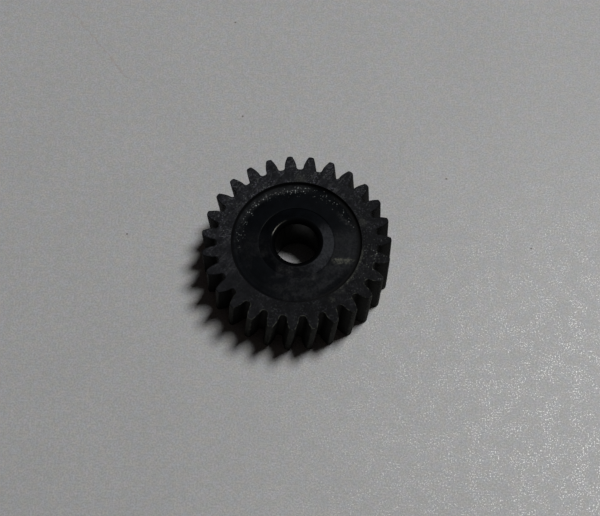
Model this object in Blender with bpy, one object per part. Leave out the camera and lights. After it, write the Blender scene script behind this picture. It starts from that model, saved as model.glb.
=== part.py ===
"""A moulded helical planet gear with involute teeth, a dished web in each face and a plain bore.

Metres, +Z up. The origin is the centre of the bottom face, on the bore's axis, and at the
bottom face one tooth is centred on +X.
"""

import math

import bmesh
import bpy

# Teeth
TOOTH_COUNT = 27
NORMAL_MODULE = 0.0008
NORMAL_PRESSURE_ANGLE = math.radians(20)
HELIX_ANGLE = math.radians(5)  # positive is a right-hand helix
ADDENDUM_IN_MODULES = 1.0
DEDENDUM_IN_MODULES = 1.25
TIP_ROUNDING = 0.00020
ROOT_LAND_HALF_WIDTH = 0.00010

# Body
FACE_WIDTH = 0.0070
BORE_RADIUS = 0.00265
BORE_ROUNDING = 0.00060  # at the top face
UNDERSIDE_BORE_ROUNDING = 0.00015
TOOTH_EDGE_BREAK = 0.00008  # the small bevel where a tooth meets either face

# Web, dished alike into both faces; depths are measured from the face
RECESS_RADIUS = 0.00800
RECESS_EDGE_BREAK = 0.00007
WALL_DRAFT = 0.00010  # how far the wall leans in from its top to its foot
WALL_FOOT_DEPTH = 0.00028
TROUGH_RADIUS = 0.00725
TROUGH_DEPTH = 0.00054
HUB_RADIUS = 0.00468
HUB_EDGE_DEPTH = 0.00041
HUB_STEP = 0.00007  # the hub's foot lies this much below the web's inner edge
HUB_TOP_DEPTH = 0.00018
WEB_CROWN = 1.6  # 1 is a straight cone, and more is a rounder dome

# Fineness
FLANK_STEPS = 3
FILLET_STEPS = 2
TIP_STEPS = 2
TWIST_LAYERS = 2
TURNED_SIDES = 72
TURNED_FILLET_STEPS = 3
WEB_STEPS = 3
BORE_ROUNDING_STEPS = 3

# Worked out from the above
TRANSVERSE_MODULE = NORMAL_MODULE / math.cos(HELIX_ANGLE)
TRANSVERSE_PRESSURE_ANGLE = math.atan(math.tan(NORMAL_PRESSURE_ANGLE) / math.cos(HELIX_ANGLE))
PITCH_RADIUS = TOOTH_COUNT * TRANSVERSE_MODULE / 2
BASE_RADIUS = PITCH_RADIUS * math.cos(TRANSVERSE_PRESSURE_ANGLE)
TIP_RADIUS = PITCH_RADIUS + ADDENDUM_IN_MODULES * NORMAL_MODULE
ROOT_RADIUS = PITCH_RADIUS - DEDENDUM_IN_MODULES * NORMAL_MODULE
TWIST_PER_METRE = math.tan(HELIX_ANGLE) / PITCH_RADIUS


def involute(angle):
    return math.tan(angle) - angle


def half_tooth_angle(radius, inset):
    """The angle from a tooth's centre line to its flank, on a flank moved into the tooth by inset."""
    at_pitch = math.pi / (2 * TOOTH_COUNT) + involute(TRANSVERSE_PRESSURE_ANGLE)
    unwound = involute(math.acos(min(1.0, BASE_RADIUS / radius)))
    return at_pitch - unwound - inset / BASE_RADIUS


def quarter_turn(steps):
    """Angles from 0 to 90 degrees, both included."""
    return [math.pi / 2 * step / steps for step in range(steps + 1)]


def tooth_side(inset):
    """One side of a tooth from root land to tip land, as (radius, angle from the centre line)."""
    root_radius = ROOT_RADIUS - inset
    tip_radius = TIP_RADIUS - inset
    rounding = TIP_ROUNDING - inset
    flank_foot_angle = half_tooth_angle(BASE_RADIUS, inset)
    root_land_angle = math.pi / TOOTH_COUNT - ROOT_LAND_HALF_WIDTH / ROOT_RADIUS
    points = []
    for turn in quarter_turn(FILLET_STEPS):
        radius = BASE_RADIUS - (BASE_RADIUS - root_radius) * math.cos(turn)
        angle = flank_foot_angle + (root_land_angle - flank_foot_angle) * (1 - math.sin(turn))
        points.append((radius, angle))
    flank_top = tip_radius - rounding
    for step in range(1, FLANK_STEPS + 1):
        radius = BASE_RADIUS + (flank_top - BASE_RADIUS) * step / FLANK_STEPS
        points.append((radius, half_tooth_angle(radius, inset)))
    shoulder_angle = half_tooth_angle(flank_top, inset)
    land_angle = half_tooth_angle(tip_radius, inset) - rounding / TIP_RADIUS
    for turn in quarter_turn(TIP_STEPS)[1:]:
        radius = flank_top + rounding * math.sin(turn)
        angle = land_angle + (shoulder_angle - land_angle) * math.cos(turn)
        points.append((radius, angle))
    return points


def toothed_outline(height, inset):
    """The whole outline of the teeth at one height, turned there by the helix."""
    side = tooth_side(inset)
    outline = []
    for tooth in range(TOOTH_COUNT):
        centre = 2 * math.pi * tooth / TOOTH_COUNT + TWIST_PER_METRE * height
        outline += [(radius, centre - angle) for radius, angle in side]
        outline += [(radius, centre + angle) for radius, angle in reversed(side)]
    return [at(radius, angle, height) for radius, angle in outline]


def trough_bend(wall_top, wall_foot):
    """The curve that carries the wall's slope round into the trough, as (radius, depth)."""
    lean = (wall_top[0] - wall_foot[0]) / (wall_foot[1] - wall_top[1])
    corner = (wall_foot[0] - lean * (TROUGH_DEPTH - wall_foot[1]), TROUGH_DEPTH)
    end = (TROUGH_RADIUS, TROUGH_DEPTH)
    points = []
    for step in range(TURNED_FILLET_STEPS + 1):
        share = step / TURNED_FILLET_STEPS
        weights = ((1 - share) ** 2, 2 * share * (1 - share), share**2)
        pairs = zip(wall_foot, corner, end)
        points.append(tuple(sum(w * c for w, c in zip(weights, coordinates)) for coordinates in pairs))
    return points


def face_profile(bore_rounding):
    """The turned shape of one face from the rim inwards to the bore, as (radius, depth)."""
    wall_top = (RECESS_RADIUS, RECESS_EDGE_BREAK)
    wall_foot = (RECESS_RADIUS - WALL_DRAFT, WALL_FOOT_DEPTH)
    profile = [(RECESS_RADIUS + RECESS_EDGE_BREAK, 0.0), wall_top]
    profile += trough_bend(wall_top, wall_foot)
    for step in reversed(range(WEB_STEPS)):
        share = step / WEB_STEPS
        radius = HUB_RADIUS + (TROUGH_RADIUS - HUB_RADIUS) * share
        depth = HUB_EDGE_DEPTH + (TROUGH_DEPTH - HUB_EDGE_DEPTH) * share**WEB_CROWN
        profile.append((radius, depth))
    profile.append((HUB_RADIUS - HUB_STEP, HUB_EDGE_DEPTH + HUB_STEP))
    for turn in reversed(quarter_turn(BORE_ROUNDING_STEPS)):
        radius = BORE_RADIUS + bore_rounding * (1 - math.cos(turn))
        depth = HUB_TOP_DEPTH + bore_rounding * (1 - math.sin(turn))
        profile.append((radius, depth))
    return profile


def at(radius, angle, height):
    return (radius * math.cos(angle), radius * math.sin(angle), height)


def circle(radius, height):
    return [at(radius, 2 * math.pi * side / TURNED_SIDES, height) for side in range(TURNED_SIDES)]


def add_ring(bm, points):
    return [bm.verts.new(point) for point in points]


def join_rings(bm, rings):
    """Walls of quads between each ring of vertices and the next."""
    for lower, upper in zip(rings, rings[1:]):
        for corner in range(len(lower)):
            before = corner - 1
            bm.faces.new((lower[before], lower[corner], upper[corner], upper[before]))


def fill_between(bm, outer, inner):
    """A flat face between two rings that lie in one plane."""
    edges = [bm.edges.get((ring[i - 1], ring[i])) for ring in (outer, inner) for i in range(len(ring))]
    bmesh.ops.triangle_fill(bm, use_beauty=True, edges=edges)


def tooth_rings(bm):
    """The outlines from the bottom face to the top face; both ends are drawn in by the edge break."""
    rings = [add_ring(bm, toothed_outline(0.0, TOOTH_EDGE_BREAK))]
    straight = FACE_WIDTH - 2 * TOOTH_EDGE_BREAK
    for layer in range(TWIST_LAYERS + 1):
        height = TOOTH_EDGE_BREAK + straight * layer / TWIST_LAYERS
        rings.append(add_ring(bm, toothed_outline(height, 0.0)))
    rings.append(add_ring(bm, toothed_outline(FACE_WIDTH, TOOTH_EDGE_BREAK)))
    return rings


def turned_rings(bm):
    """The circles from the top face's rim, down through the bore, to the bottom face's rim."""
    above = face_profile(BORE_ROUNDING)
    below = face_profile(UNDERSIDE_BORE_ROUNDING)
    top = [add_ring(bm, circle(radius, FACE_WIDTH - depth)) for radius, depth in above]
    bottom = [add_ring(bm, circle(radius, depth)) for radius, depth in reversed(below)]
    return top + bottom


def gear_mesh():
    bm = bmesh.new()
    outside = tooth_rings(bm)
    inside = turned_rings(bm)
    join_rings(bm, outside)
    join_rings(bm, inside)
    fill_between(bm, outside[-1], inside[0])
    fill_between(bm, outside[0], inside[-1])
    bmesh.ops.recalc_face_normals(bm, faces=bm.faces)
    mesh = bpy.data.meshes.new("planet_gear")
    bm.to_mesh(mesh)
    bm.free()
    mesh.shade_smooth()
    mesh.set_sharp_from_angle(angle=math.radians(25))
    return mesh


def charcoal_plastic():
    """Black glass-filled plastic with a dull, slightly bluish surface."""
    material = bpy.data.materials.new("charcoal_plastic")
    material.use_nodes = True
    shader = material.node_tree.nodes["Principled BSDF"]
    shader.inputs["Base Color"].default_value = (0.020, 0.021, 0.024, 1.0)
    shader.inputs["Roughness"].default_value = 0.5
    shader.inputs["Metallic"].default_value = 0.0
    return material


def main():
    for leftover in list(bpy.data.objects):
        bpy.data.objects.remove(leftover, do_unlink=True)
    mesh = gear_mesh()
    mesh.materials.append(charcoal_plastic())
    bpy.context.scene.collection.objects.link(bpy.data.objects.new("planet_gear", mesh))


main()
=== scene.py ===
"""A worn, moulded helical planet gear lying on a pale desk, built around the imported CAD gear.

Metres, +Z up, in the CAD's own frame: the origin is the centre of the gear's bottom face.
"""

import math

import bmesh
import bpy
from mathutils import Matrix, Vector, noise


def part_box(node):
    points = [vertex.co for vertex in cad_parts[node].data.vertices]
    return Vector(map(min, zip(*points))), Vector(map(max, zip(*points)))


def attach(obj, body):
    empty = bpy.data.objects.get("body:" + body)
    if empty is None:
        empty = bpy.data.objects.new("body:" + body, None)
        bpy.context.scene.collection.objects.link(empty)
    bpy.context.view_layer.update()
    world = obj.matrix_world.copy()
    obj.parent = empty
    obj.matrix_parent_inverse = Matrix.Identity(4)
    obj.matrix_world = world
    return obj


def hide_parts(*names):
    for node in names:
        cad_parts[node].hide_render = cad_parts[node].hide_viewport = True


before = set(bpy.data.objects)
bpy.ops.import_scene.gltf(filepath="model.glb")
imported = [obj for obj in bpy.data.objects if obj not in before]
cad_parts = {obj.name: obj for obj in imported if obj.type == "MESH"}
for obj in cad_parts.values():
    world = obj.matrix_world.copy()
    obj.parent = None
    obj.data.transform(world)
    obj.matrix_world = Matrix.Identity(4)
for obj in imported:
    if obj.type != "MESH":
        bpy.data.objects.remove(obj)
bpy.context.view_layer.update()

GEAR_NODE = "planet_gear"
LOWEST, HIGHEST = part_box(GEAR_NODE)

# Teeth: the CAD gear's own standard
TOOTH_COUNT = 27
NORMAL_MODULE = 0.0008
NORMAL_PRESSURE_ANGLE = math.radians(20)
HELIX_ANGLE = math.radians(5)  # right-hand
ADDENDUM_IN_MODULES = 1.0
DEDENDUM_IN_MODULES = 1.25
TIP_ROUNDING = 0.00020
ROOT_LAND_HALF_WIDTH = 0.00010
TOOTH_EDGE_ROUNDING = 0.00008

# Body: depths are measured from the face
FACE_WIDTH = HIGHEST.z - LOWEST.z
BORE_RADIUS = 0.00265
BORE_ROUNDING = 0.00060
UNDERSIDE_BORE_ROUNDING = 0.00015
RECESS_RADIUS = 0.00800
RECESS_EDGE_ROUNDING = 0.00007
WALL_DRAFT = 0.00010
WALL_FOOT_DEPTH = 0.00028
TROUGH_RADIUS = 0.00725
TROUGH_DEPTH = 0.00054
HUB_RADIUS = 0.00468
HUB_EDGE_DEPTH = 0.00041
HUB_STEP = 0.00007
HUB_TOP_DEPTH = 0.00018
WEB_CROWN = 1.6  # 1 is a straight cone, and more is a rounder dome

# Wear of the teeth's edges: 0 is none and 1 is the most
FLANK_WEAR = 0.15
SHOULDER_WEAR = 0.6
TIP_WEAR = 0.3
LEAST_NICKED_WEAR = 0.3

# Size of the worn line along each edge, and of its nicks
WORN_WIDTH = 0.00005
NICK_DEPTH = 0.00003
NICK_SPACING = 0.00035

# Worked out from the above
PITCH_RADIUS = TOOTH_COUNT * NORMAL_MODULE / math.cos(HELIX_ANGLE) / 2
PRESSURE_ANGLE = math.atan(math.tan(NORMAL_PRESSURE_ANGLE) / math.cos(HELIX_ANGLE))
BASE_RADIUS = PITCH_RADIUS * math.cos(PRESSURE_ANGLE)
TIP_RADIUS = PITCH_RADIUS + ADDENDUM_IN_MODULES * NORMAL_MODULE
ROOT_RADIUS = PITCH_RADIUS - DEDENDUM_IN_MODULES * NORMAL_MODULE
TWIST_PER_METRE = math.tan(HELIX_ANGLE) / PITCH_RADIUS

# Fineness of the mesh
TURNED_SIDES = 360
FLANK_STEPS = 7
ROOT_FILLET_STEPS = 6
TIP_STEPS = 4
EDGE_STEPS = 4
TWIST_LAYERS = 12
WALL_STEPS = 4
TROUGH_STEPS = 12
WEB_STEPS = 16
HUB_STEPS = 6
BORE_STEPS = 8
SHARP_ANGLE = math.radians(40)

# Camera, seen from the gear's top centre; the aim is the picture's centre
CAMERA_LENS = 90.0
CAMERA_SENSOR = 36.0
CAMERA_NEAR_LIMIT = 0.01
CAMERA_DISTANCE = 0.1834
CAMERA_ELEVATION = math.radians(66.85)
CAMERA_TURN = math.radians(2.34)  # counter-clockwise from straight in front
AIM_RIGHT = 0.00043
AIM_UP = -0.00206

# Lights
KEY_TURN = math.radians(40.4)  # counter-clockwise from +X
KEY_ELEVATION = math.radians(65.2)
KEY_DISTANCE = 0.80
KEY_SIZE = 0.21
KEY_POWER = 3.45
KEY_COLOUR = (0.995, 1.0, 1.0)
SKY_COLOUR = (1.0, 0.82, 0.76)
SKY_STRENGTH = 0.014

DESK_HALF_SIZE = 0.6
DESK_SEGMENTS = 8
MILLIMETRE = 0.001
STREAK_STRETCH = 9.0  # how many times longer than wide a rubbed streak is


# ---------------------------------------------------------------- gear outline


def involute(angle):
    return math.tan(angle) - angle


def half_tooth_angle(radius, inset):
    """The angle from a tooth's centre line to its flank, on a flank moved into the tooth by inset."""
    at_pitch = math.pi / (2 * TOOTH_COUNT) + involute(PRESSURE_ANGLE)
    unwound = involute(math.acos(min(1.0, BASE_RADIUS / radius)))
    return at_pitch - unwound - inset / BASE_RADIUS


def quarter_turn(steps):
    """Angles from 0 to 90 degrees, both included."""
    return [math.pi / 2 * step / steps for step in range(steps + 1)]


def tooth_side(inset):
    """One side of a tooth from root land to tip land, as (radius, angle from centre line, wear)."""
    root_radius = ROOT_RADIUS - inset
    tip_radius = TIP_RADIUS - inset
    rounding = TIP_ROUNDING - inset
    foot_angle = half_tooth_angle(BASE_RADIUS, inset)
    root_angle = math.pi / TOOTH_COUNT - ROOT_LAND_HALF_WIDTH / ROOT_RADIUS
    points = []
    for turn in quarter_turn(ROOT_FILLET_STEPS):
        radius = BASE_RADIUS - (BASE_RADIUS - root_radius) * math.cos(turn)
        points.append((radius, foot_angle + (root_angle - foot_angle) * (1 - math.sin(turn)), 0.0))
    flank_top = tip_radius - rounding
    for step in range(1, FLANK_STEPS + 1):
        radius = BASE_RADIUS + (flank_top - BASE_RADIUS) * step / FLANK_STEPS
        points.append((radius, half_tooth_angle(radius, inset), FLANK_WEAR * step / FLANK_STEPS))
    shoulder_angle = half_tooth_angle(flank_top, inset)
    land_angle = half_tooth_angle(tip_radius, inset) - rounding / TIP_RADIUS
    for turn in quarter_turn(TIP_STEPS)[1:]:
        radius = flank_top + rounding * math.sin(turn)
        angle = land_angle + (shoulder_angle - land_angle) * math.cos(turn)
        wear = SHOULDER_WEAR * math.sin(2 * turn) + TIP_WEAR * math.sin(turn)
        points.append((radius, angle, wear))
    return points


def toothed_outline(height, inset):
    """The outline of all teeth at one height, turned there by the helix, as (point, wear)."""
    side = tooth_side(inset)
    outline = []
    for tooth in range(TOOTH_COUNT):
        centre = 2 * math.pi * tooth / TOOTH_COUNT + TWIST_PER_METRE * height
        outline += [(at(radius, centre - angle, height), wear) for radius, angle, wear in side]
        outline += [(at(radius, centre + angle, height), wear) for radius, angle, wear in reversed(side)]
    return outline


# ---------------------------------------------------------------- turned shape


def rounded_corner(start, end, steps):
    """Points of a quarter ellipse between two (radius, depth) ends, without its first point.

    It leaves start along the radius and meets end along the axis.
    """
    points = []
    for turn in quarter_turn(steps)[1:]:
        radius = start[0] + (end[0] - start[0]) * math.sin(turn)
        points.append((radius, start[1] + (end[1] - start[1]) * (1 - math.cos(turn))))
    return points


def trough_bend(wall_top, wall_foot, trough):
    """The curve that carries the wall's slope round into the trough, without its first point."""
    lean = (wall_top[0] - wall_foot[0]) / (wall_foot[1] - wall_top[1])
    corner = (wall_foot[0] - lean * (trough[1] - wall_foot[1]), trough[1])
    points = []
    for step in range(1, TROUGH_STEPS + 1):
        share = step / TROUGH_STEPS
        weights = ((1 - share) ** 2, 2 * share * (1 - share), share**2)
        pairs = zip(wall_foot, corner, trough)
        points.append(tuple(sum(w * c for w, c in zip(weights, coordinates)) for coordinates in pairs))
    return points


def straight_run(start, end, steps):
    """Points from start to end, without the first."""
    run = []
    for step in range(1, steps + 1):
        share = step / steps
        run.append(tuple(a + (b - a) * share for a, b in zip(start, end)))
    return run


def web_dome():
    """The web from its trough up to the hub's step, without the first point."""
    points = []
    for step in range(1, WEB_STEPS + 1):
        share = 1 - step / WEB_STEPS
        radius = HUB_RADIUS + (TROUGH_RADIUS - HUB_RADIUS) * share
        points.append((radius, HUB_EDGE_DEPTH + (TROUGH_DEPTH - HUB_EDGE_DEPTH) * share**WEB_CROWN))
    return points


def face_profile(bore_rounding):
    """The turned shape of one face from the flat rim inwards to the bore, as (radius, depth)."""
    rim_edge = (RECESS_RADIUS + RECESS_EDGE_ROUNDING, 0.0)
    wall_top = (RECESS_RADIUS, RECESS_EDGE_ROUNDING)
    wall_foot = (RECESS_RADIUS - WALL_DRAFT, WALL_FOOT_DEPTH)
    trough = (TROUGH_RADIUS, TROUGH_DEPTH)
    hub_foot = (HUB_RADIUS - HUB_STEP, HUB_EDGE_DEPTH + HUB_STEP)
    bore_shoulder = (BORE_RADIUS + bore_rounding, HUB_TOP_DEPTH)
    bore_top = (BORE_RADIUS, HUB_TOP_DEPTH + bore_rounding)
    profile = [rim_edge]
    profile += rounded_corner(rim_edge, wall_top, EDGE_STEPS)
    profile += straight_run(wall_top, wall_foot, WALL_STEPS)
    profile += trough_bend(wall_top, wall_foot, trough)
    profile += web_dome()
    profile += rounded_corner(profile[-1], hub_foot, EDGE_STEPS)
    profile += straight_run(hub_foot, bore_shoulder, HUB_STEPS)
    profile += rounded_corner(bore_shoulder, bore_top, BORE_STEPS)
    return profile


# ---------------------------------------------------------------- gear mesh


def at(radius, angle, height):
    return (radius * math.cos(angle), radius * math.sin(angle), height)


def circle(radius, height):
    return [(at(radius, 2 * math.pi * i / TURNED_SIDES, height), 0.0) for i in range(TURNED_SIDES)]


def add_ring(bm, wear_layer, points):
    """Vertices for a ring of (point, wear)."""
    ring = []
    for point, wear in points:
        vertex = bm.verts.new(point)
        vertex[wear_layer] = wear
        ring.append(vertex)
    return ring


def join_rings(bm, rings, material_index):
    """Walls of quads between each ring of vertices and the next."""
    for lower, upper in zip(rings, rings[1:]):
        for corner in range(len(lower)):
            before = corner - 1
            face = bm.faces.new((lower[before], lower[corner], upper[corner], upper[before]))
            face.material_index = material_index


def fill_between(bm, outer, inner):
    """A flat face between two rings that lie in one plane."""
    edges = [bm.edges.get((ring[i - 1], ring[i])) for ring in (outer, inner) for i in range(len(ring))]
    bmesh.ops.triangle_fill(bm, use_beauty=True, edges=edges)


def edge_ring(turn, top):
    """The outline part of the way round a face's edge: at 0 on the flank, at 90 degrees on the face."""
    depth = TOOTH_EDGE_ROUNDING * (1 - math.sin(turn))
    inset = TOOTH_EDGE_ROUNDING * (1 - math.cos(turn))
    height = FACE_WIDTH - depth if top else depth
    worn = math.sin(turn)
    return [(point, max(wear, worn)) for point, wear in toothed_outline(height, inset)]


def unworn_ring(height):
    """The outline on a face just inside its rounded edge, where the wear ends."""
    return [(point, 0.0) for point, _ in toothed_outline(height, TOOTH_EDGE_ROUNDING + WORN_WIDTH)]


def tooth_rings(bm, wear_layer):
    """The outlines from the bottom face to the top face."""
    outlines = [unworn_ring(0.0)]
    outlines += [edge_ring(turn, top=False) for turn in reversed(quarter_turn(EDGE_STEPS))]
    straight = FACE_WIDTH - 2 * TOOTH_EDGE_ROUNDING
    for layer in range(1, TWIST_LAYERS):
        height = TOOTH_EDGE_ROUNDING + straight * layer / TWIST_LAYERS
        outlines.append(toothed_outline(height, 0.0))
    outlines += [edge_ring(turn, top=True) for turn in quarter_turn(EDGE_STEPS)]
    outlines.append(unworn_ring(FACE_WIDTH))
    return [add_ring(bm, wear_layer, outline) for outline in outlines]


def turned_rings(bm, wear_layer):
    """The circles of the top face and of the bottom face, both from the rim inwards."""
    above = face_profile(BORE_ROUNDING)
    below = face_profile(UNDERSIDE_BORE_ROUNDING)
    top = [add_ring(bm, wear_layer, circle(radius, FACE_WIDTH - depth)) for radius, depth in above]
    bottom = [add_ring(bm, wear_layer, circle(radius, depth)) for radius, depth in below]
    return top, bottom


def nick_edges(bm, wear_layer):
    """Draws worn edges a little into the plastic, unevenly, as handling does."""
    middle = Vector((0.0, 0.0, FACE_WIDTH / 2))
    for vertex in bm.verts:
        wear = vertex[wear_layer]
        if wear > LEAST_NICKED_WEAR:
            bite = max(0.0, noise.noise(vertex.co / NICK_SPACING)) * NICK_DEPTH * wear
            vertex.co += (middle - vertex.co).normalized() * bite


def gear_mesh(rim_material, web_material, bore_material):
    bm = bmesh.new()
    wear_layer = bm.verts.layers.float.new("wear")
    outside = tooth_rings(bm, wear_layer)
    top, bottom = turned_rings(bm, wear_layer)
    join_rings(bm, outside, 0)
    join_rings(bm, top, 1)
    join_rings(bm, bottom, 1)
    join_rings(bm, [top[-1], bottom[-1]], 2)
    fill_between(bm, outside[-1], top[0])
    fill_between(bm, outside[0], bottom[0])
    nick_edges(bm, wear_layer)
    bmesh.ops.recalc_face_normals(bm, faces=bm.faces)
    mesh = bpy.data.meshes.new("planet_gear_moulding")
    bm.to_mesh(mesh)
    bm.free()
    for material in (rim_material, web_material, bore_material):
        mesh.materials.append(material)
    mesh.shade_smooth()
    mesh.set_sharp_from_angle(angle=SHARP_ANGLE)
    return mesh


def make_gear():
    mesh = gear_mesh(rim_plastic(), web_plastic(), bore_plastic())
    gear = bpy.data.objects.new("planet_gear_moulding", mesh)
    bpy.context.scene.collection.objects.link(gear)
    even_shading = gear.modifiers.new("even_shading", "WEIGHTED_NORMAL")
    even_shading.keep_sharp = True
    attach(gear, "root")
    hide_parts(GEAR_NODE)
    return gear


# ---------------------------------------------------------------- node helpers


def grey(level, blue=0.0):
    """A near-grey colour; blue raises the blue channel by that share."""
    return (level, level * (1 + blue * 0.35), level * (1 + blue))


def opaque(colour):
    """Three channels with full alpha; a node's output stays as it is."""
    return colour if isinstance(colour, bpy.types.NodeSocket) else (*colour, 1.0)


class Shader:
    """A material's node tree, with short calls for the nodes that the surfaces share.

    Lengths that the calls take are in millimetres and angles in degrees. A direction is
    counter-clockwise from +X, as seen from above.
    """

    def __init__(self, name):
        self.material = bpy.data.materials.new(name)
        self.material.use_nodes = True
        self.tree = self.material.node_tree
        self.surface = self.tree.nodes["Principled BSDF"]
        self.position = self.node("ShaderNodeTexCoord").outputs["Object"]

    def node(self, kind, inputs=None, **settings):
        made = self.tree.nodes.new(kind)
        for name, value in settings.items():
            setattr(made, name, value)
        for name, value in (inputs or {}).items():
            self.feed(made.inputs[name], value)
        return made

    def feed(self, socket, value):
        if isinstance(value, bpy.types.NodeSocket):
            self.tree.links.new(value, socket)
        else:
            socket.default_value = value

    # numbers

    def math(self, operation, first, second=0.0):
        return self.node("ShaderNodeMath", {0: first, 1: second}, operation=operation).outputs[0]

    def times(self, first, *others):
        for other in others:
            first = self.math("MULTIPLY", first, other)
        return first

    def most(self, first, *others):
        for other in others:
            first = self.math("MAXIMUM", first, other)
        return first

    def ramp(self, value, low, high, start=0.0, end=1.0):
        """Start below low, end above high, and a smooth change between."""
        inputs = {"Value": value, "From Min": low, "From Max": high, "To Min": start, "To Max": end}
        return self.node("ShaderNodeMapRange", inputs, interpolation_type="SMOOTHSTEP").outputs[0]

    def fade(self, share, start, end):
        """Start where the share is 0, end where it is 1."""
        return self.ramp(share, 0.0, 1.0, start, end)

    def mix(self, share, first, second):
        inputs = {"Factor": share, 6: opaque(first), 7: opaque(second)}
        return self.node("ShaderNodeMix", inputs, data_type="RGBA").outputs[2]

    # textures

    def grain(self, size, detail=2.0, roughness=0.5, where=None):
        """Noise from 0 to 1 whose features are about size across."""
        inputs = {
            "Vector": where or self.position,
            "Scale": 1 / (size * MILLIMETRE),
            "Detail": detail,
            "Roughness": roughness,
        }
        return self.node("ShaderNodeTexNoise", inputs).outputs["Fac"]

    def flecks(self, spacing, reach):
        """Round flecks of varied strength, about spacing apart; reach is a share of the spacing.

        Some of the places stay empty.
        """
        inputs = {"Vector": self.position, "Scale": 1 / (spacing * MILLIMETRE)}
        cells = self.node("ShaderNodeTexVoronoi", inputs)
        strength = self.ramp(cells.outputs["Color"], 0.35, 0.95)
        return self.times(self.ramp(cells.outputs["Distance"], reach, reach * 0.4), strength)

    def streaks(self, direction):
        """Short thin streaks that run in a direction, 0 to 1."""
        inputs = {
            "Vector": self.flat(),
            "Rotation": (0.0, 0.0, math.radians(direction)),
            "Scale": (STREAK_STRETCH, 1.0, 1.0),
        }
        drawn_out = self.node("ShaderNodeMapping", inputs, vector_type="TEXTURE").outputs["Vector"]
        return self.ramp(self.grain(0.26, 1.0, 0.5, where=drawn_out), 0.50, 0.64)

    def bump(self, height, distance, strength):
        inputs = {"Height": height, "Distance": distance * MILLIMETRE, "Strength": strength}
        return self.node("ShaderNodeBump", inputs).outputs["Normal"]

    # places

    def vector(self, operation, first, second=(0.0, 0.0, 0.0), output="Vector"):
        inputs = {0: first, 1: second}
        return self.node("ShaderNodeVectorMath", inputs, operation=operation).outputs[output]

    def part(self, axis):
        """The position along one axis, in metres."""
        return self.node("ShaderNodeSeparateXYZ", {0: self.position}).outputs[axis]

    def flat(self):
        """The position with its height left out."""
        return self.vector("MULTIPLY", self.position, (1.0, 1.0, 0.0))

    def radius(self):
        """The distance from the gear's axis, in metres."""
        return self.vector("LENGTH", self.flat(), output="Value")

    def from_axis(self, zero_at, one_at, beyond=0.0):
        """0 at one distance from the axis and 1 at another, both counted on from beyond, in metres."""
        return self.ramp(self.radius(), beyond + zero_at * MILLIMETRE, beyond + one_at * MILLIMETRE)

    def towards(self, direction):
        """The cosine of the angle between a point's bearing from the axis and a direction."""
        turned = math.radians(direction)
        pointer = (math.cos(turned), math.sin(turned), 0.0)
        along = self.vector("DOT_PRODUCT", self.position, pointer, output="Value")
        return self.math("DIVIDE", along, self.radius())

    def sector(self, direction, half_width, softness):
        """1 within half_width of a direction, falling to 0 over the softness beyond."""
        inside = math.cos(math.radians(half_width))
        outside = math.cos(math.radians(half_width + softness))
        return self.ramp(self.towards(direction), outside, inside)

    def top_only(self):
        """1 on the upper half of the gear."""
        return self.ramp(self.part("Z"), FACE_WIDTH * 0.45, FACE_WIDTH * 0.55)

    def near_faces(self):
        """1 on the flat faces, 0 from a tenth of a millimetre below them."""
        from_middle = self.math("ABSOLUTE", self.math("SUBTRACT", self.part("Z"), FACE_WIDTH / 2))
        low = FACE_WIDTH / 2 - 0.10 * MILLIMETRE
        high = FACE_WIDTH / 2 - 0.02 * MILLIMETRE
        return self.ramp(from_middle, low, high)

    def drift(self, reach):
        """A slow wander between about -reach and reach; the result is in metres."""
        wander = self.math("SUBTRACT", self.grain(0.9), 0.5)
        return self.times(wander, 4 * reach * MILLIMETRE)

    def spot(self, x, y, radius, softness, wobble=0.0):
        """1 within radius of a point seen from above, 0 beyond the softness."""
        centre = (x * MILLIMETRE, y * MILLIMETRE, 0.0)
        away = self.vector("DISTANCE", self.flat(), centre, output="Value")
        edge = self.math("ADD", away, self.drift(wobble))
        return self.ramp(edge, (radius + softness) * MILLIMETRE, radius * MILLIMETRE)

    def spots(self, marks):
        """The strongest of several spots at each point."""
        return self.most(*[self.spot(*mark) for mark in marks])

    def band(self, start, end, half_width, softness, wobble):
        """1 along a line seen from above, 0 beyond the softness."""
        first = Vector((*start, 0.0)) * MILLIMETRE
        reach = Vector((*end, 0.0)) * MILLIMETRE - first
        along = reach.normalized()
        across = Vector((-along.y, along.x, 0.0))
        offset = self.vector("SUBTRACT", self.flat(), first)
        travelled = self.vector("DOT_PRODUCT", offset, along, output="Value")
        sideways = self.vector("DOT_PRODUCT", offset, across, output="Value")
        aside = self.math("ABSOLUTE", self.math("ADD", sideways, self.drift(wobble / 2)))
        soft = softness * MILLIMETRE
        beside = self.ramp(aside, half_width * MILLIMETRE + soft, half_width * MILLIMETRE)
        begun = self.ramp(travelled, -soft, soft)
        ended = self.ramp(travelled, reach.length + soft, reach.length - soft)
        return self.times(beside, begun, ended)

    def finish(self, **inputs):
        for name, value in inputs.items():
            self.feed(self.surface.inputs[name.replace("_", " ")], value)
        return self.material


# ---------------------------------------------------------------- rim and teeth

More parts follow.
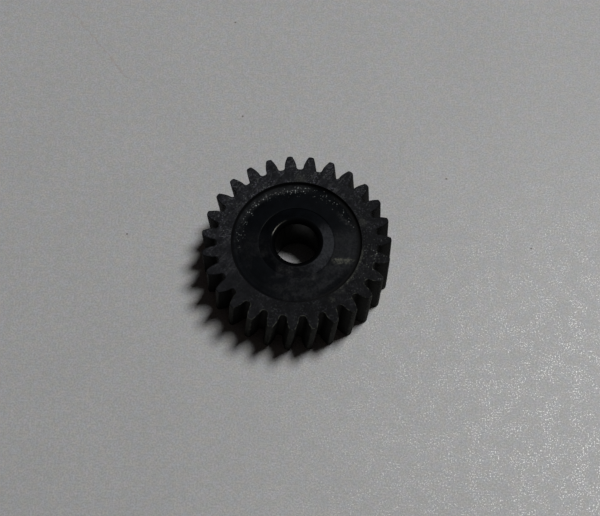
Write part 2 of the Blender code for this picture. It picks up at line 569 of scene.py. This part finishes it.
# Colours are linear red, green and blue
FLANK = (0.0066, 0.0070, 0.0060)
# Painted sheen: the flanks' colour on the side where the lamp's reflection falls
PAINTED_SHEEN_FLANK = (0.0300, 0.0309, 0.0268)
RIM_FACE = (0.0024, 0.0024, 0.0028)
RIM_CLOUD = (0.0112, 0.0115, 0.0130)
RIM_HAZE = (0.0150, 0.0158, 0.0198)
RIM_BLOTCH = grey(0.0030, 0.3)
PURPLISH_POWDER = (0.088, 0.086, 0.108)
GREENISH_POWDER = (0.080, 0.090, 0.086)
POWDER_FLECK = (0.240, 0.246, 0.250)
RUBBED_STREAK = (0.044, 0.044, 0.047)
DUST_FLECK = (0.23, 0.25, 0.21)
CAUGHT_DUST = (0.096, 0.100, 0.084)
CLEAN_EDGE = grey(0.0025, 0.4)
RUBBED_EDGE = (0.082, 0.086, 0.070)
TIP_BLOOM = (0.026, 0.027, 0.022)
ROOT_DIRT = (0.0190, 0.0184, 0.0165)
RIM_SHEEN_TINT = (0.93, 0.94, 1.0)

# Sectors are a direction, a half width and a softness
# Where the painted sheen on the flanks lies
LAMP_SIDE = (-24.0, 16.0, 24.0)
CLEAN_SIDE = (-152.0, 16.0, 18.0)
FRESH_POWDER_SIDE = (-14.0, 12.0, 24.0)
RUBBED_STRETCH = (66.0, 10.0, 18.0)
LIGHTLY_RUBBED_STRETCH = (125.0, 70.0, 30.0)
DUST_SIDE = (-14.0, 8.0, 16.0)
CAUGHT_DUST_SIDE = (-32.0, 22.0, 10.0)
HANDLED_TEETH = (-72.0, 48.0, 22.0)
POWDERY_DIRECTION = 128.0
STREAK_DIRECTION = 50.0

# Spots are x, y, a radius, a softness and a wobble
EVEN_DUST_SPOTS = ((8.0, 2.9, 0.25, 0.5, 0.3), (0.2, 8.5, 0.3, 0.6, 0.3))
PATCHY_DUST_SPOTS = ((5.45, -6.1, 0.25, 0.5, 0.2), (4.4, -7.5, 0.2, 0.5, 0.2))


def rim_body(shader, faces, top, clouds, powdery):
    """The dull plastic: flanks painted paler on the side where the lamp's reflection falls, a painted
    sheen; faces cloudy and hazier on one side.
    """
    # Painted sheen: the flanks grow paler on the side where the lamp's reflection falls
    painted_sheen = shader.times(shader.sector(*LAMP_SIDE), 0.75)
    colour = shader.mix(faces, shader.mix(painted_sheen, FLANK, PAINTED_SHEEN_FLANK), RIM_FACE)
    colour = shader.mix(shader.times(clouds, faces), colour, RIM_CLOUD)
    return shader.mix(shader.times(powdery, top, 0.75), colour, RIM_HAZE)


def rim_powder(shader, colour, faces, patches, powder, powdery):
    """Fine powder, thickest where the rim is palest, with bright flecks and bare blotches."""
    tint = shader.ramp(shader.grain(0.7, 2.0, 0.5), 0.42, 0.58)
    cleaned = shader.fade(shader.sector(*CLEAN_SIDE), 1.0, 0.4)
    thickness = shader.ramp(powdery, 0.2, 0.8, 0.30, 1.0)
    amount = shader.times(thickness, patches, faces, cleaned)
    powder_tint = shader.mix(tint, PURPLISH_POWDER, GREENISH_POWDER)
    colour = shader.mix(shader.times(powder, amount), colour, powder_tint)
    fresh = shader.times(patches, shader.sector(*FRESH_POWDER_SIDE), 0.8)
    gathered = shader.most(shader.times(amount, amount), fresh)
    flecks = shader.times(shader.flecks(0.28, 0.34), faces, gathered)
    colour = shader.mix(flecks, colour, POWDER_FLECK)
    blotches = shader.ramp(shader.grain(0.75, 4.0, 0.7), 0.54, 0.40)
    return shader.mix(shader.times(blotches, faces, 0.62), colour, RIM_BLOTCH)


def rim_marks(shader, colour, top, patches, powder):
    """Rubbed streaks across the upper rim, and dust caught on the right and along the recess."""
    lightly = shader.times(shader.sector(*LIGHTLY_RUBBED_STRETCH), 0.6)
    rubbing = shader.most(shader.sector(*RUBBED_STRETCH), lightly)
    streaks = shader.times(shader.streaks(STREAK_DIRECTION), rubbing, top, patches)
    colour = shader.mix(streaks, colour, RUBBED_STREAK)
    dust = shader.times(shader.flecks(0.30, 0.38), shader.sector(*DUST_SIDE), top, patches)
    colour = shader.mix(dust, colour, DUST_FLECK)
    recess_edge = shader.from_axis(0.45, 0.15, beyond=RECESS_RADIUS)
    along_recess = shader.times(recess_edge, shader.sector(*CAUGHT_DUST_SIDE), patches)
    even = shader.times(shader.spots(EVEN_DUST_SPOTS), 0.5)
    patchy = shader.times(shader.spots(PATCHY_DUST_SPOTS), patches)
    caught = shader.most(along_recess, even, patchy)
    caught = shader.times(caught, top, shader.fade(powder, 0.4, 0.9))
    return shader.mix(caught, colour, CAUGHT_DUST)


def tooth_wear(shader, colour, faces, clouds):
    """Dark edges, rubbed pale on the handled teeth; a bloom on the tips and dirt in the gaps."""
    wear = shader.node("ShaderNodeAttribute", attribute_name="wear").outputs["Fac"]
    colour = shader.mix(shader.times(wear, 0.8), colour, CLEAN_EDGE)
    rubbed = shader.ramp(shader.grain(0.5, 3.0, 0.6), 0.42, 0.64)
    worn = shader.times(wear, rubbed, shader.sector(*HANDLED_TEETH))
    colour = shader.mix(worn, colour, RUBBED_EDGE)
    sides = shader.fade(faces, 1.0, 0.0)
    tips = shader.from_axis(-0.10, -0.03, beyond=TIP_RADIUS)
    bloom = shader.times(tips, shader.fade(clouds, 0.45, 0.85), sides)
    colour = shader.mix(bloom, colour, TIP_BLOOM)
    roots = shader.from_axis(0.6, 0.0, beyond=ROOT_RADIUS)
    return shader.mix(shader.times(roots, sides), colour, ROOT_DIRT)


def rim_plastic():
    """Dull glass-filled plastic with powdery flecks, and pale worn edges."""
    shader = Shader("rim_plastic")
    faces = shader.near_faces()
    top = shader.times(faces, shader.top_only())
    clouds = shader.ramp(shader.grain(1.6, 4.0, 0.65), 0.36, 0.64)
    patches = shader.ramp(shader.grain(1.1, 3.0, 0.6), 0.38, 0.60, 0.12, 1.0)
    powder = shader.ramp(shader.grain(0.24, 2.0, 0.6), 0.50, 0.64)
    powdery = shader.ramp(shader.towards(POWDERY_DIRECTION), -1.0, 1.0)
    colour = rim_body(shader, faces, top, clouds, powdery)
    colour = rim_powder(shader, colour, faces, patches, powder, powdery)
    colour = rim_marks(shader, colour, top, patches, powder)
    colour = tooth_wear(shader, colour, faces, clouds)
    return shader.finish(
        Base_Color=colour,
        Roughness=0.72,
        Normal=shader.bump(shader.grain(0.11, 3.0, 0.65), distance=0.02, strength=0.6),
        Specular_IOR_Level=shader.fade(faces, 0.12, 0.14),
        Specular_Tint=opaque(RIM_SHEEN_TINT),
    )


# ---------------------------------------------------------------- web and hub

WEB_DARK = grey(0.0013, 0.8)
WEB_CLOUD = grey(0.0028, 0.8)
BLUISH_FILM = (0.0108, 0.0108, 0.0138)
GREENISH_FILM = (0.0126, 0.0130, 0.0114)
PURPLISH_FILM = (0.0122, 0.0108, 0.0140)
# Film and painted sheen: the hub's pale side, where the lamp's reflection falls
HUB_FILM_AND_SHEEN = (0.0235, 0.0245, 0.0290)
SMEAR = (0.130, 0.131, 0.104)
SMUDGE = grey(0.036)
# Haze and painted sheen, crumbs and painted glints, scuffs and a painted highlight, mostly on the
# trough's far side
TROUGH_HAZE_AND_SHEEN = grey(0.0185, 0.12)
CRUMB_AND_GLINT = (0.66, 0.72, 0.70)
SCUFF_AND_HIGHLIGHT = grey(0.110)
SCATTERED_FLECK = grey(0.260)
WALL = (0.0078, 0.0078, 0.0086)
# Painted light for the shaded side of the wall and trough
PAINTED_LIGHT_ON_SHADE = (0.0135, 0.0135, 0.0138)
BORE_EDGE = grey(0.0018, 0.3)
FILM_SHEEN_TINT = (0.86, 0.93, 1.0)
WORN_SHEEN_TINT = (1.0, 0.98, 0.86)

FILM_SIDE = (-52.0, 58.0, 24.0)
LIGHT_FILM_SIDE = (-130.0, 40.0, 40.0)
# The hub's film and painted sheen lie on the side where the lamp's reflection falls
HUB_FILM_AND_SHEEN_SIDE = (-8.0, 24.0, 32.0)
PAINTED_HUB_SHEEN_SIDE = (-6.0, 16.0, 50.0)
EVEN_FILM_SIDE = (2.0, 14.0, 16.0)
THIN_FILM_SIDES = ((-45.0, 10.0, 16.0), (-135.0, 22.0, 18.0))
# Where the trough's painted sheen, glints and highlight lie
TROUGH_HAZE_AND_SHEEN_SIDE = (120.0, 30.0, 20.0)
TROUGH_THIN_HAZE_AND_SHEEN_SIDE = (-4.0, 14.0, 20.0)
CRUMB_AND_GLINT_SIDE = (108.0, 50.0, 40.0)
SCUFF_AND_HIGHLIGHT_SIDE = (134.0, 20.0, 14.0)
SCATTERED_SIDE = (98.0, 66.0, 24.0)
# Where painted light lifts the shaded side of the wall
SHADED_WALL_SIDE = (-12.0, 56.0, 25.0)
WORN_ARC = (141.0, 8.0, 26.0)

# The large wiped patch ends at a straight edge, given as x
WIPED_SPOT = (-4.0, -3.6, 1.3, 1.0, 0.5)
WIPED_EDGE = (-5.38, -5.22)
SMUDGE_SPOTS = ((-1.9, -3.6, 0.2, 0.45, 0.2), (-0.7, -3.8, 0.2, 0.5, 0.2))
FAINT_SMUDGE_SPOT = (-3.9, -1.7, 0.05, 0.6, 0.3)

# Bands are a start, an end, a half width, a softness and a wobble
WIPED_BAND = ((-5.3, -4.9), (-1.0, -5.2), 0.2, 0.7, 0.6)
SMEAR_BAND = ((4.6, -2.05), (7.95, -2.05), 0.07, 0.16, 0.16)
WIDE_SMEAR_BAND = ((4.5, -2.25), (6.6, -2.15), 0.14, 0.40, 0.30)
SMUDGE_BAND = ((2.2, -3.9), (2.4, -5.0), 0.05, 0.3, 0.3)
FAINT_SMUDGE_BAND = ((4.9, 4.0), (6.5, 2.6), 0.1, 0.45, 0.4)


def web_film(shader, hub, top, mottle, fine):
    """How much grey film lies on the web and hub: mottled, thin in places and wiped off in two."""
    light = shader.times(shader.sector(*LIGHT_FILM_SIDE), 0.55)
    # On the hub the film lies where the lamp's reflection falls, as film and painted sheen
    hub_film_and_sheen = shader.times(hub, shader.sector(*HUB_FILM_AND_SHEEN_SIDE))
    film = shader.times(shader.most(shader.sector(*FILM_SIDE), light, hub_film_and_sheen), top, mottle, fine)
    thin = shader.most(*[shader.sector(*side) for side in THIN_FILM_SIDES])
    thin = shader.times(thin, shader.from_axis(6.6, 7.1))
    film = shader.times(film, shader.fade(thin, 1.0, 0.35))
    across = shader.math("DIVIDE", shader.part("X"), MILLIMETRE)
    patch = shader.times(shader.spot(*WIPED_SPOT), shader.ramp(across, *WIPED_EDGE))
    wiped = shader.most(patch, shader.times(shader.band(*WIPED_BAND), 0.7))
    return shader.times(film, shader.fade(wiped, 1.0, 0.15))


def filmed_web(shader, hub, film, mottle):
    """The dark plastic of the web under its film, which is palest on the hub, where film and a painted
    sheen lie on the side where the lamp's reflection falls.
    """
    clouds = shader.ramp(shader.grain(1.3, 4.0, 0.6), 0.3, 0.7)
    colour = shader.mix(clouds, WEB_DARK, WEB_CLOUD)
    dirt = shader.mix(shader.fade(mottle, 0.45, 0.65), BLUISH_FILM, GREENISH_FILM)
    purple = shader.ramp(shader.grain(0.8, 2.0, 0.5), 0.42, 0.58)
    dirt = shader.mix(shader.times(purple, 0.6), dirt, PURPLISH_FILM)
    colour = shader.mix(film, colour, dirt)
    # Film and painted sheen: the hub paler on the side where the lamp's reflection falls
    hub_film_and_sheen = shader.times(hub, film, shader.sector(*PAINTED_HUB_SHEEN_SIDE))
    return shader.mix(hub_film_and_sheen, colour, HUB_FILM_AND_SHEEN)


def web_smears(shader, colour, top, fine):
    """The smear that crosses the web, and the smudges."""
    broken = shader.ramp(shader.grain(0.35, 2.0, 0.6), 0.38, 0.6, 0.15, 1.0)
    wide_smear = shader.times(shader.band(*WIDE_SMEAR_BAND), 0.7)
    smear = shader.most(shader.band(*SMEAR_BAND), wide_smear)
    colour = shader.mix(shader.times(smear, top, broken, fine), colour, SMEAR)
    smudge = shader.most(
        shader.spots(SMUDGE_SPOTS),
        shader.times(shader.spot(*FAINT_SMUDGE_SPOT), 0.6),
        shader.band(*SMUDGE_BAND),
        shader.times(shader.band(*FAINT_SMUDGE_BAND), 0.8),
    )
    return shader.mix(shader.times(smudge, top, broken, 0.6), colour, SMUDGE)


def trough_dust(shader, colour, top, rough_ring):
    """Haze, crumbs, scuffs and flecks in and beside the trough, with a painted sheen in the haze,
    painted glints among the crumbs and a painted highlight along the scuffs; and painted light on the
    shaded side of the wall.
    """
    clumps = shader.ramp(shader.grain(0.9, 3.0, 0.6), 0.40, 0.58)
    lightly = shader.times(shader.sector(*TROUGH_THIN_HAZE_AND_SHEEN_SIDE), 0.4)
    # The haze also carries a painted sheen
    haze_and_sheen = shader.most(shader.sector(*TROUGH_HAZE_AND_SHEEN_SIDE), lightly)
    haze_and_sheen = shader.times(haze_and_sheen, shader.fade(clumps, 0.5, 1.1), rough_ring)
    colour = shader.mix(haze_and_sheen, colour, TROUGH_HAZE_AND_SHEEN)
    trough = shader.times(shader.from_axis(6.5, 6.9), shader.from_axis(7.65, 7.35))
    # Painted glints among the crumbs
    crumbs_and_glints = shader.times(trough, clumps, shader.sector(*CRUMB_AND_GLINT_SIDE), top)
    colour = shader.mix(shader.times(shader.flecks(0.22, 0.40), crumbs_and_glints), colour, CRUMB_AND_GLINT)
    # A painted highlight along the bend, broken up like scuffs
    bend = shader.times(shader.from_axis(7.10, 7.22), shader.from_axis(7.42, 7.30))
    scuff_and_highlight_breaks = shader.ramp(shader.grain(0.22, 2.0, 0.6), 0.50, 0.64)
    colour = shader.mix(shader.times(bend, shader.sector(*SCUFF_AND_HIGHLIGHT_SIDE), top, scuff_and_highlight_breaks), colour, SCUFF_AND_HIGHLIGHT)
    spread = shader.times(shader.from_axis(5.8, 6.9), shader.sector(*SCATTERED_SIDE), top, clumps)
    colour = shader.mix(shader.times(shader.flecks(0.40, 0.26), spread), colour, SCATTERED_FLECK)
    colour = shader.mix(shader.from_axis(7.72, 7.88), colour, WALL)
    # Painted light on the shaded side of the wall and trough
    painted_light_on_shade = shader.times(shader.from_axis(7.35, 7.7), shader.sector(*SHADED_WALL_SIDE), top)
    return shader.mix(painted_light_on_shade, colour, PAINTED_LIGHT_ON_SHADE)


def web_plastic():
    """Smoother, darker plastic with a grey film, and glossy worn arcs round the bore and hub."""
    shader = Shader("web_plastic")
    top = shader.top_only()
    hub = shader.from_axis(0.04, -0.04, beyond=HUB_RADIUS)
    rough_ring = shader.times(shader.from_axis(6.7, 7.2), top)
    fine = shader.ramp(shader.grain(0.22, 1.0, 0.5), 0.35, 0.65, 0.55, 1.05)
    even = shader.fade(shader.sector(*EVEN_FILM_SIDE), 0.0, 0.80)
    uneven = shader.ramp(shader.grain(0.9, 5.0, 0.75), 0.38, 0.62, 0.32, 1.10)
    mottle = shader.most(uneven, even)
    film = web_film(shader, hub, top, mottle, fine)
    colour = filmed_web(shader, hub, film, mottle)
    colour = web_smears(shader, colour, top, fine)
    colour = trough_dust(shader, colour, top, rough_ring)
    bore_edge = shader.from_axis(0.08, 0.0, beyond=BORE_RADIUS + BORE_ROUNDING)
    step_edge = shader.times(
        shader.from_axis(-0.14, -0.08, beyond=HUB_RADIUS),
        shader.from_axis(0.03, 0.0, beyond=HUB_RADIUS),
    )
    worn_edges = shader.most(bore_edge, shader.times(step_edge, 0.55))
    glossy = shader.times(shader.sector(*WORN_ARC), top, worn_edges)
    film_off_edge = shader.times(film, shader.fade(bore_edge, 1.0, 0.0))
    sheen = shader.most(shader.fade(film_off_edge, 0.036, 0.085), shader.fade(glossy, 0.0, 0.12))
    dull_edge = shader.math("SUBTRACT", bore_edge, glossy)
    rough = shader.times(shader.grain(0.15, 3.0, 0.7), rough_ring)
    return shader.finish(
        Base_Color=shader.mix(bore_edge, colour, BORE_EDGE),
        Roughness=shader.fade(glossy, 0.50, 0.22),
        Normal=shader.bump(rough, distance=0.06, strength=0.8),
        Specular_IOR_Level=shader.times(sheen, shader.fade(dull_edge, 1.0, 0.4)),
        Specular_Tint=shader.mix(glossy, FILM_SHEEN_TINT, WORN_SHEEN_TINT),
    )


# ---------------------------------------------------------------- bore

BORE_DARK = grey(0.0060)
BORE_CLOUD = grey(0.0095)
# Painted light: the glow on the bore's far wall
PAINTED_LIGHT_FAR_WALL = (0.0185, 0.0195, 0.0180)
BORE_FAR_SIDE = (74.0, 4.0, 36.0)


def bore_plastic():
    """The bore's smooth, rubbed wall, with painted light making its far side a little paler towards the
    top.
    """
    shader = Shader("bore_plastic")
    clouds = shader.grain(0.9, 3.0, 0.6)
    colour = shader.mix(clouds, BORE_DARK, BORE_CLOUD)
    high = shader.ramp(shader.part("Z"), FACE_WIDTH * 0.35, FACE_WIDTH * 0.85)
    # Painted light on the upper part of the far wall
    painted_light_far_side = shader.times(shader.sector(*BORE_FAR_SIDE), high)
    return shader.finish(
        Base_Color=shader.mix(painted_light_far_side, colour, PAINTED_LIGHT_FAR_WALL),
        Roughness=shader.ramp(clouds, 0.2, 0.8, 0.32, 0.42),
        Normal=shader.bump(shader.grain(0.12), distance=0.004, strength=0.5),
        Specular_IOR_Level=0.20,
    )


# ---------------------------------------------------------------- desk

YELLOWISH_DESK = (0.700, 0.700, 0.625)
BLUISH_DESK = (0.700, 0.700, 0.775)
GREENISH_DESK = (0.648, 0.700, 0.700)
PINKISH_DESK = (0.752, 0.700, 0.700)
DARK_GRAIN = grey(0.42)
SCRATCH = (0.50, 0.42, 0.40)
DIRT = (0.11, 0.09, 0.07)
# Painted glints on the desk
PAINTED_GLINT = (1.0, 1.0, 0.97)

# Where the painted glints gather, round the lamp's reflection
LIT_CORNER = (38.0, -26.0, 14.0, 46.0)
SCRATCH_BAND = ((-32.0, 35.9), (-23.5, 25.7), 0.02, 0.14, 0.5)
SPECK_SIZE = (0.05, 0.15)  # radius and softness
SPECK_PLACES = ((-9.8, 35.2), (-8.0, 20.8), (-21.8, 3.2), (29.7, 3.3), (18.9, 12.7))


def desk_grain(shader):
    """Pale laminate with a faint colour cast that wanders, and a fine grey grain."""
    blueness = shader.ramp(shader.grain(1.05, 3.0, 0.5), 0.35, 0.65)
    pinkness = shader.ramp(shader.grain(1.20, 3.0, 0.5), 0.35, 0.65)
    blues = shader.mix(blueness, YELLOWISH_DESK, BLUISH_DESK)
    pinks = shader.mix(pinkness, GREENISH_DESK, PINKISH_DESK)
    colour = shader.mix(0.5, blues, pinks)
    clouds = shader.ramp(shader.grain(9.0, 3.0, 0.5), 0.3, 0.7, 0.09, 0.0)
    speckle = shader.ramp(shader.grain(0.22, 1.0, 0.5), 0.25, 0.75, 0.0, 0.60)
    mottle = shader.ramp(shader.grain(0.9, 3.0, 0.7), 0.35, 0.65, 0.0, 0.20)
    for darkness in (clouds, speckle, mottle):
        colour = shader.mix(darkness, colour, DARK_GRAIN)
    return colour


def desk_laminate():
    """A pale desk top with a few marks, and painted glints, glossier there too, that gather towards its
    lit corner.
    """
    shader = Shader("desk_laminate")
    # Painted glints: pale specks in the colour, which are glossier too
    painted_glints = shader.ramp(shader.grain(0.17, 1.0, 0.6), 0.56, 0.66)
    drifts = shader.ramp(shader.grain(1.8, 3.0, 0.6), 0.40, 0.60, 0.25, 1.0)
    painted_glints = shader.times(painted_glints, drifts, shader.spot(*LIT_CORNER))
    colour = desk_grain(shader)
    colour = shader.mix(shader.times(shader.band(*SCRATCH_BAND), 0.40), colour, SCRATCH)
    specks = shader.spots([(*place, *SPECK_SIZE) for place in SPECK_PLACES])
    colour = shader.mix(shader.times(specks, 0.75), colour, DIRT)
    return shader.finish(
        Base_Color=shader.mix(painted_glints, colour, PAINTED_GLINT),
        Roughness=shader.fade(painted_glints, 0.42, 0.30),
        Normal=shader.bump(shader.grain(0.28, 2.0, 0.6), distance=0.03, strength=0.5),
        Specular_IOR_Level=shader.fade(painted_glints, 0.22, 0.60),
    )


def make_desk():
    mesh = bpy.data.meshes.new("desk")
    bm = bmesh.new()
    segments = {"x_segments": DESK_SEGMENTS, "y_segments": DESK_SEGMENTS}
    bmesh.ops.create_grid(bm, size=DESK_HALF_SIZE, **segments)
    bm.to_mesh(mesh)
    bm.free()
    mesh.materials.append(desk_laminate())
    desk = bpy.data.objects.new("desk", mesh)
    desk.location.z = LOWEST.z
    bpy.context.scene.collection.objects.link(desk)


# ---------------------------------------------------------------- lights and camera


def direction(turn, elevation):
    """The unit vector at that angle counter-clockwise from +X, and that height above the desk."""
    flat = math.cos(elevation)
    return Vector((flat * math.cos(turn), flat * math.sin(turn), math.sin(elevation)))


def make_lights():
    key = bpy.data.lights.new("key", "AREA")
    key.shape = "DISK"
    key.size = KEY_SIZE
    key.energy = KEY_POWER
    key.color = KEY_COLOUR
    lamp = bpy.data.objects.new("key", key)
    lamp.location = direction(KEY_TURN, KEY_ELEVATION) * KEY_DISTANCE
    lamp.rotation_euler = lamp.location.to_track_quat("Z", "Y").to_euler()
    bpy.context.scene.collection.objects.link(lamp)
    world = bpy.data.worlds.new("room")
    world.use_nodes = True
    background = world.node_tree.nodes["Background"]
    background.inputs["Color"].default_value = (*SKY_COLOUR, 1.0)
    background.inputs["Strength"].default_value = SKY_STRENGTH
    bpy.context.scene.world = world


def make_camera():
    """The camera looks past the gear's top centre, at a point a little to the right and below."""
    data = bpy.data.cameras.new("camera")
    data.lens = CAMERA_LENS
    data.sensor_width = CAMERA_SENSOR
    data.clip_start = CAMERA_NEAR_LIMIT
    camera = bpy.data.objects.new("camera", data)
    back = direction(CAMERA_TURN - math.pi / 2, CAMERA_ELEVATION)
    right = Vector((0.0, 0.0, 1.0)).cross(back).normalized()
    up = back.cross(right)
    aim = Vector((0.0, 0.0, HIGHEST.z)) + right * AIM_RIGHT + up * AIM_UP
    turned = Matrix((right, up, back)).transposed().to_4x4()
    camera.matrix_world = Matrix.Translation(aim + back * CAMERA_DISTANCE) @ turned
    bpy.context.scene.collection.objects.link(camera)
    bpy.context.scene.camera = camera


# ---------------------------------------------------------------- the whole scene


make_camera()
make_lights()
make_desk()
make_gear()
bpy.context.scene.view_settings.view_transform = "Standard"
